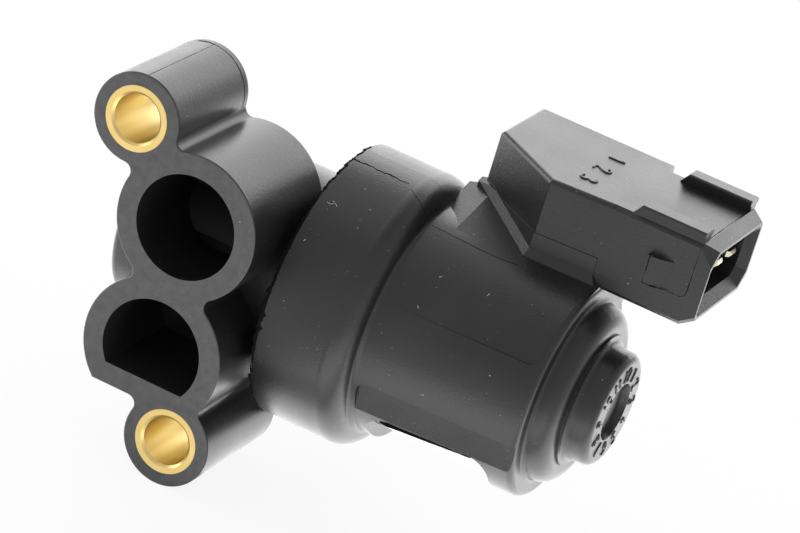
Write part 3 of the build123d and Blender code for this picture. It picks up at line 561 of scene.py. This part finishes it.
# Rotary slide: the curved shutter that opens and closes the upper port.
# Turned aluminium, hard anodised almost black, with tool rings that still show through.
# The clip holds it on the shaft's flat.
def dark_anodised():
    """Dark anodised skin: rings about the motor axis as bump, tone from the slow noise."""
    material, tree, where = new_finish("dark_anodised")
    _, height, slow = rings_on(tree, where, motor_axis, to_x, density=4200.0)
    tone = two_tones(tree, slow, dark=(0.010, 0.010, 0.011), light=(0.026, 0.026, 0.028))
    rough = spread(tree, height, low=0.42, high=0.6)
    normal = relief(tree, height, strength=0.3, depth=0.00001)
    shade(tree, tone, rough, normal, specular=0.25)
    return material


dress(["rotary_slide"], dark_anodised())


# Motor housing: collar, barrel, tail and connector block in one moulding, pushed over the flange.
# The same glass-filled black plastic as the body, as moulded all over.
housing_black = black_plastic("housing_black", ground_face=False)
dress(["motor_housing"], housing_black)


# Mould seams on the housing: over the collar, its shoulder, the barrel and round the plug's mouth.
# Flash where the die parts meet, thin, uneven and broken in places, drawn in the painted-shade
# black.
# A wide torn bead on the collar's left rim is part flash, part painted shadow; a black bead on the
# window's front lip is painted shadow.
def round_motor(x, angle, radius):
    """Points at a radius from the motor axis, and the way out; 0 degrees is front, 90 is top."""
    angle = np.radians(np.broadcast_to(angle, np.shape(x)))
    out = np.stack([np.zeros_like(angle), -np.cos(angle), np.sin(angle)], 1)
    on_axis = np.array(motor_axis) + line_of(x, 0.0, 0.0)
    return on_axis + out * np.reshape(radius, (-1, 1)), out


def torn_width(count, widest, seed):
    """Half width of a torn edge: the slow swell of a seam with short teeth, sines of many turns."""
    s = np.linspace(0, 1, count)
    teeth = np.sin(190 * s + seed) + 0.8 * np.sin(317 * s + 2.3 * seed)
    teeth = teeth + 0.6 * np.sin(523 * s + 4.1 * seed)
    return flash_width(count, widest, seed) * np.clip(0.75 + 0.22 * teeth, 0.3, 1.3)


collar_r, collar_start, collar_end, seam_angle = 19.7, 14.8, 23.3, 78.6
run = np.linspace(collar_start, collar_end, 160)
wander = 0.28 * np.sin(1.9 * run) + 0.16 * np.sin(5.3 * run + 1.0) + 0.1 * np.sin(11.7 * run)
collar_line, collar_out = round_motor(run, seam_angle + wander, collar_r)
taper = np.interp(run, [collar_start, 20.5, collar_end], [1.2, 1.0, 0.4])
collar_width = torn_width(160, widest=0.17, seed=0.4) * taper
flash_piece("collar_seam", bead(collar_line, collar_out, collar_width, height=0.05))

# A wide torn bead on the collar's left rim: partly flash, partly painted shadow of the deep gap
# against the valve body.
rim_x, rim_r, rim_from, rim_to = 14.55, 19.68, 94, -62
turn = np.linspace(rim_from, rim_to, 420)
wander = 0.07 * np.sin(0.9 * turn) + 0.05 * np.sin(0.37 * turn + 2.0)
edge_x = rim_x + np.interp(turn, [50, 75], [0, 0.3]) + wander
edge_line, edge_out = round_motor(edge_x, turn, rim_r)
taper = np.interp(turn, [rim_to, -40, 50, 70, rim_from], [0.5, 1.0, 1.0, 0.6, 0.5])
edge_width = torn_width(420, widest=0.5, seed=1.3) * taper
flash_piece("collar_edge_flash_and_shadow", bead(edge_line, edge_out, edge_width, height=0.1))

roll_x, roll_middle, roll_r, roll_from, roll_to = 24.677, 16.701, 3.037, 99, 14
turn = np.radians(np.linspace(roll_from, roll_to, 60))
shoulder_x = roll_x + roll_r * np.cos(turn)
shoulder_r = roll_middle + roll_r * np.sin(turn)
shoulder_angle = np.interp(shoulder_x, [22.9, 25.1, 26.9, 28.0], [seam_angle, 73.7, 71.3, 72.0])
shoulder_line, out = round_motor(shoulder_x, shoulder_angle, shoulder_r)
shoulder_out = out * np.sin(turn)[:, None] + line_of(np.cos(turn), 0.0, 0.0)
shoulder_width = flash_width(60, widest=0.06, seed=3.3)
flash_piece("shoulder_seam", bead(shoulder_line, shoulder_out, shoulder_width, height=0.02))

barrel_x, barrel_r, barrel_drop, barrel_long = 28.6, 16.5, 1.2, 23.2
barrel_from, barrel_to, foot_angle = 28.5, 41.2, 72.3
bend_start, bend_long, bend_angle = 36, 5, 2.2
run = np.linspace(barrel_from, barrel_to, 90)
barrel_angle = foot_angle + bend_angle * np.clip((run - bend_start) / bend_long, 0, 1) ** 2
wall_r = barrel_r - (run - barrel_x) * barrel_drop / barrel_long
barrel_line, barrel_out = round_motor(run, barrel_angle, wall_r)
barrel_width = flash_width(90, widest=0.065, seed=1.9)
flash_piece("barrel_seam", bead(barrel_line, barrel_out, barrel_width, height=0.025))

# A black bead along the window's front lip is painted shadow: the dark gap between the lip and the
# yoke, wide at the left and thinning to the right.
lip_start, lip_end, lip_y, lip_start_z, lip_end_z = 32.4, 45.7, 10.74, -9.52, -8.61
lip_out = (0, -0.3, -0.954)
run = np.linspace(lip_start, lip_end, 160)
lip_line = line_of(run, lip_y, np.interp(run, [lip_start, lip_end], [lip_start_z, lip_end_z]))
taper = np.interp(run, [lip_start, 33.4, 38.0, lip_end], [0.16, 0.34, 0.24, 0.1])
lip_width = taper + torn_width(160, widest=0.06, seed=2.2)
flash_piece("window_lip_shadow_gap", bead(lip_line, lip_out, lip_width, height=0.8 * lip_width))

to_front, to_top = (0, -1, 0), (0, 0, 1)
# The catch's line is painted shadow up its left edge, where the catch stands off the wall, and a
# seam along its foot.
catch_root, catch_low = 57.05, 19.17
mouth_x, mouth_front, mouth_low, mouth_top, corner_r = 62.9, 23.55, 19.05, 27.0, 0.9
foot_x, ramp_x = np.linspace(57.15, 58.5, 14), np.linspace(58.7, 60.7, 20)
catch_x = np.concatenate([np.full(30, catch_root), foot_x, ramp_x])
catch_y = np.interp(catch_x, [58.55, 60.65], [22.45, mouth_front])
catch_z = np.concatenate([np.linspace(22.95, 19.25, 30), np.full(34, catch_low)])
catch_line = line_of(catch_x, catch_y, catch_z)
catch_width = torn_width(64, widest=0.13, seed=0.6)
turn = np.radians(np.linspace(-90, 0, 12))
corner_x = mouth_x - corner_r + corner_r * np.cos(turn)
corner_z = mouth_low + corner_r + corner_r * np.sin(turn)
side_x = np.concatenate([np.linspace(60.6, 61.9, 30), corner_x, np.full(30, mouth_x)])
side_z = np.concatenate([np.full(30, mouth_low), corner_z, np.linspace(20.2, 26.3, 30)])
side_line = line_of(side_x, mouth_front, side_z)
side_width = flash_width(72, widest=0.07, seed=0.9)
over_x, over_from, over_to = 62.85, 24.4, 41.6
over_line = line_of(over_x, np.linspace(over_from, over_to, 50), mouth_top)
over_width = flash_width(50, widest=0.08, seed=5.1)
flash_piece(
    "mouth_seam_and_catch_shadow",
    bead(catch_line, to_front, catch_width, height=0.03),
    bead(side_line, to_front, side_width, height=0.025),
    bead(over_line, to_top, over_width, height=0.03),
)


# Terminals: three flat blades in the socket, stamped from brass strip and flashed with tin.
# The tin has worn to a pale gold in places; the roots are moulded into the connector block.
def tinned_brass():
    """Tin over brass: stamping lines stretched along X; brass shows where a slow noise is high."""
    tin, brass = (0.78, 0.74, 0.60), (0.76, 0.60, 0.28)
    material, tree, where = new_finish("tinned_brass")
    lines = pulled_lines(tree, where, waves=(180.0, 2600.0, 2600.0))
    worn = noise(tree, where, scale=520.0, detail=4.0)
    tone = two_tones(tree, worn, tin, brass, stops=(0.35, 0.75))
    rough = spread(tree, lines, low=0.18, high=0.36)
    shade(tree, tone, rough, relief(tree, lines, strength=0.2, depth=0.00001), metallic=1.0)
    return material


dress(["terminal_1", "terminal_2", "terminal_3"], tinned_brass())


# Pin numbers 1 to 3: raised strokes on top of the connector block, one over each blade.
# Moulded with the block from figures cut into the die, so they are black plastic with soft edges.
strokes = {
    "0": [(.3, 1), (.06, .85), (.02, .5), (.06, .15), (.3, 0), (.54, .15), (.58, .5),
          (.54, .85), (.3, 1)],
    "1": [(.16, .78), (.36, 1), (.36, 0)],
    "2": [(.04, .74), (.1, .93), (.32, 1), (.54, .94), (.6, .74), (.46, .48), (.04, 0),
          (.62, 0)],
    "3": [(.04, .9), (.22, 1), (.48, .97), (.58, .78), (.46, .57), (.24, .53), (.5, .48),
          (.62, .26), (.5, .05), (.22, 0), (.02, .1)],
    "4": [(.44, 0), (.44, 1), (.02, .3), (.62, .3)],
    "5": [(.56, 1), (.12, 1), (.08, .55), (.32, .62), (.56, .5), (.58, .2), (.4, .02),
          (.15, 0), (.02, .12)],
    "6": [(.5, .96), (.25, .82), (.06, .45), (.06, .16), (.28, 0), (.54, .14), (.54, .42),
          (.3, .56), (.08, .4)],
    "7": [(.02, 1), (.6, 1), (.22, 0)],
    "8": [(.3, .53), (.08, .66), (.1, .92), (.3, 1), (.5, .92), (.52, .66), (.3, .53),
          (.04, .36), (.06, .08), (.3, 0), (.54, .08), (.56, .36), (.3, .53)],
    "9": [(.1, .04), (.35, .18), (.54, .55), (.54, .84), (.32, 1), (.06, .86), (.06, .58),
          (.3, .44), (.52, .6)],
}


def figure_line(figure):
    """A figure's stroke in a box 0.6 wide and 1 tall, each corner cut twice at the quarters."""
    line = np.array(strokes[figure], float)
    for _ in range(2):
        near = 0.75 * line[:-1] + 0.25 * line[1:]
        far = 0.25 * line[:-1] + 0.75 * line[1:]
        line = np.concatenate([line[:1], np.stack([near, far], 1).reshape(-1, 2), line[-1:]])
    return line


pin_x, pin_tall, pin_shift, block_top = 43.0, 2.4, 0.75, 27.0
for figure, pin_y in (("1", 38.3), ("2", 33.3), ("3", 28.3)):
    line = figure_line(figure)
    stroke_x = pin_x + pin_tall * line[:, 1]
    stroke_y = pin_y + pin_shift - pin_tall * line[:, 0]
    stroke = bead(line_of(stroke_x, stroke_y, block_top), to_top, half_width=0.17, height=0.2)
    piece_of(f"pin_number_{figure}", [stroke], housing_black)


# Dial on the knob: the numbers 1 to 12 round the dimple, as a moulder's date dial has them.
# Raised strokes of the same plastic, pressed in the die by a small engraved insert.
dial_x, dial_r, dial_tall = 58.8, 4.5, 2.0
dial_middle = np.array([dial_x, motor_axis[1], 0])
figure_pitch, figure_half, narrower = 0.72, 0.3, 0.8
shells = []
for number in range(1, 13):
    turn = number * np.pi / 6
    up = np.array([0, np.sin(turn), np.cos(turn)])
    right = np.array([0, np.cos(turn), -np.sin(turn)])
    text = str(number)
    for place, figure in enumerate(text):
        line = figure_line(figure)
        from_middle = figure_pitch * (place - (len(text) - 1) / 2)
        across = (line[:, :1] - figure_half + from_middle) * narrower * dial_tall
        stroke = dial_middle + across * right + (dial_r + dial_tall * line[:, 1:]) * up
        shells.append(bead(stroke, (1, 0, 0), half_width=0.15, height=0.18, sides=8))
piece_of("dial_numbers", shells, housing_black)


# Lint: a few short white fibres from packing that cling to the collar and the barrel.
# Fine cotton hair, curled, lying on the plastic.
def cotton():
    """Off-white fibre with a slow change of tone along it."""
    material, tree, where = new_finish("lint_cotton")
    change = noise(tree, where, scale=1500.0)
    tone = two_tones(tree, change, dark=(0.42, 0.41, 0.38), light=(0.72, 0.71, 0.67))
    shade(tree, tone, rough=0.85)
    return material


def fibre(x, angle, radius, length, heading, curl):
    """A fibre on a round surface: its heading turns evenly along it, and its steps are added up."""
    count, lift, hair_r = 24, 0.03, 0.035
    s = np.linspace(-0.5, 0.5, count)
    way = np.radians(heading + curl * s)
    step = length / (count - 1)
    along = np.cumsum(np.cos(way)) * step
    around = np.cumsum(np.sin(way)) * step
    angles = angle + np.degrees((around - around.mean()) / radius)
    line, out = round_motor(x + along - along.mean(), angles, radius + lift)
    return bead(line, out, hair_r, hair_r, sides=6)


shells = [
    fibre(16.5, 52.4, collar_r, length=1.0, heading=5, curl=70),
    fibre(17.1, 53.2, collar_r, length=1.0, heading=150, curl=25),
    fibre(16.1, 34.7, collar_r, length=0.35, heading=60, curl=20),
    fibre(40.4, 50.5, 15.92, length=0.5, heading=75, curl=30),
    fibre(37.8, -6.9, 16.16, length=0.5, heading=10, curl=120),
    fibre(33.7, 48.1, 16.25, length=0.4, heading=30, curl=40),
    fibre(33.0, 30.6, 16.30, length=0.35, heading=120, curl=50),
]
piece_of("lint", shells, cotton())


# Floor: a wide sheet of white card under the object, level with its lowest boss.
# It is white to the camera and in reflections, and keeps a faint shadow.
def card_white():
    """White card: mostly its own white to the camera and in reflections, diffuse to other light."""
    own_white = 0.9
    material, tree, where = new_finish("card_white")
    fibres = noise(tree, where, scale=900.0)
    paper = two_tones(tree, fibres, dark=(0.86, 0.86, 0.86), light=(0.90, 0.90, 0.90))
    path = put(tree, "ShaderNodeLightPath").outputs
    seen = work_out(tree, "MAXIMUM", path["Is Camera Ray"], path["Is Glossy Ray"])
    seen = work_out(tree, "MAXIMUM", seen, path["Is Transmission Ray"])
    share = work_out(tree, "MULTIPLY", seen, own_white)
    card = put(tree, "ShaderNodeBsdfDiffuse", {"Color": paper}).outputs[0]
    white_inputs = {"Color": (1.0, 1.0, 1.0, 1.0), "Strength": 1.0}
    white = put(tree, "ShaderNodeEmission", white_inputs).outputs[0]
    both = put(tree, "ShaderNodeMixShader", {0: share, 1: card, 2: white}).outputs[0]
    put(tree, "ShaderNodeOutputMaterial", {"Surface": both})
    return material


low, reach = cad_box[0][2], 4.0
floor_mesh = bpy.data.meshes.new("floor")
corners = [(reach * x, reach * y, low) for x, y in ((-1, -1), (1, -1), (1, 1), (-1, 1))]
floor_mesh.from_pydata(corners, [], [(0, 1, 2, 3)])
floor_mesh.materials.append(card_white())
floor = bpy.data.objects.new("floor", floor_mesh)
bpy.context.scene.collection.objects.link(floor)


# Light: a white tent that is palest low down, a soft box behind, weaker ones above and at the left,
# and a light table below, its front part split by a gap before the lower boss.
# The boxes draw the sheen on the top faces and on the lower edges.
world = bpy.data.worlds.new("tent")
bpy.context.scene.world = world
world.use_nodes = True
sky = world.node_tree
sky.nodes.clear()
way = put(sky, "ShaderNodeTexCoord").outputs["Generated"]
upward = put(sky, "ShaderNodeSeparateXYZ", {0: way}).outputs["Z"]
wall = put(sky, "ShaderNodeValToRGB", {"Fac": upward})
for place in (0.25, 0.9):
    wall.color_ramp.elements.new(place)
for stop, level in zip(wall.color_ramp.elements, (0.95, 0.70, 0.66, 0.45)):
    stop.color = (level, level, level, 1.0)
tent = put(sky, "ShaderNodeBackground", {"Color": wall.outputs[0], "Strength": 1.0})
put(sky, "ShaderNodeOutputWorld", {"Surface": tent.outputs[0]})


def soft_box(name, place, aim, size, power):
    """A rectangular lamp at a place, turned to look at a point; the camera doesn't see it."""
    lamp = bpy.data.lights.new(name, "AREA")
    lamp.shape = "RECTANGLE"
    lamp.size, lamp.size_y = size
    lamp.energy = power
    box = bpy.data.objects.new(name, lamp)
    back = np.array(place, float) - np.array(aim, float)
    back /= np.linalg.norm(back)
    right = np.cross((0, 0, 1), back)
    right /= np.linalg.norm(right)
    turn = np.eye(4)
    turn[:3] = np.stack([right, np.cross(back, right), back, place], 1)
    box.matrix_world = Matrix(turn.tolist())
    box.visible_camera = False
    bpy.context.scene.collection.objects.link(box)


middle = (0.025, 0.02, 0.0)
soft_box("back_box", (-0.09, 0.69, 0.32), middle, size=(0.87, 0.64), power=4.3)
soft_box("upper_box", (-0.26, 0.14, 0.70), middle, size=(0.7, 0.5), power=0.65)
soft_box("left_box", (-0.76, 0.06, 0.20), middle, size=(0.6, 0.5), power=3.0)
table_z, overhead, lean = low + 0.0005, low + 1.0, 0.0001
for name, x, y, size, power in (
    ("light_table", -0.09, 0.256, (0.42, 0.50), 1.14),
    ("table_right", 0.062, -0.034, (0.10, 0.056), 0.026),
    ("table_left", -0.16, -0.0205, (0.284, 0.051), 0.078),
):
    soft_box(name, (x, y, table_z), (x, y + lean, overhead), size, power)


# Camera: a long lens at the photograph's place, looking down on the ports and the barrel's front.
# Its place and direction were found from the object's circles and edges.
camera_data = bpy.data.cameras.new("camera")
camera_data.sensor_width = 36.0
camera_data.lens = 189.0
camera_data.clip_start = 0.01
camera = bpy.data.objects.new("camera", camera_data)
camera.matrix_world = Matrix((
    (0.8666602630, -0.3978097462, 0.3010770572, 0.1932130111),
    (0.4211521646, 0.2598436897, -0.8689718702, -0.4639881823),
    (0.2674525057, 0.8799026439, 0.3927346361, 0.2266736767),
    (0.0, 0.0, 0.0, 1.0),
))
bpy.context.scene.collection.objects.link(camera)
bpy.context.scene.camera = camera
bpy.context.scene.view_settings.view_transform = "Standard"
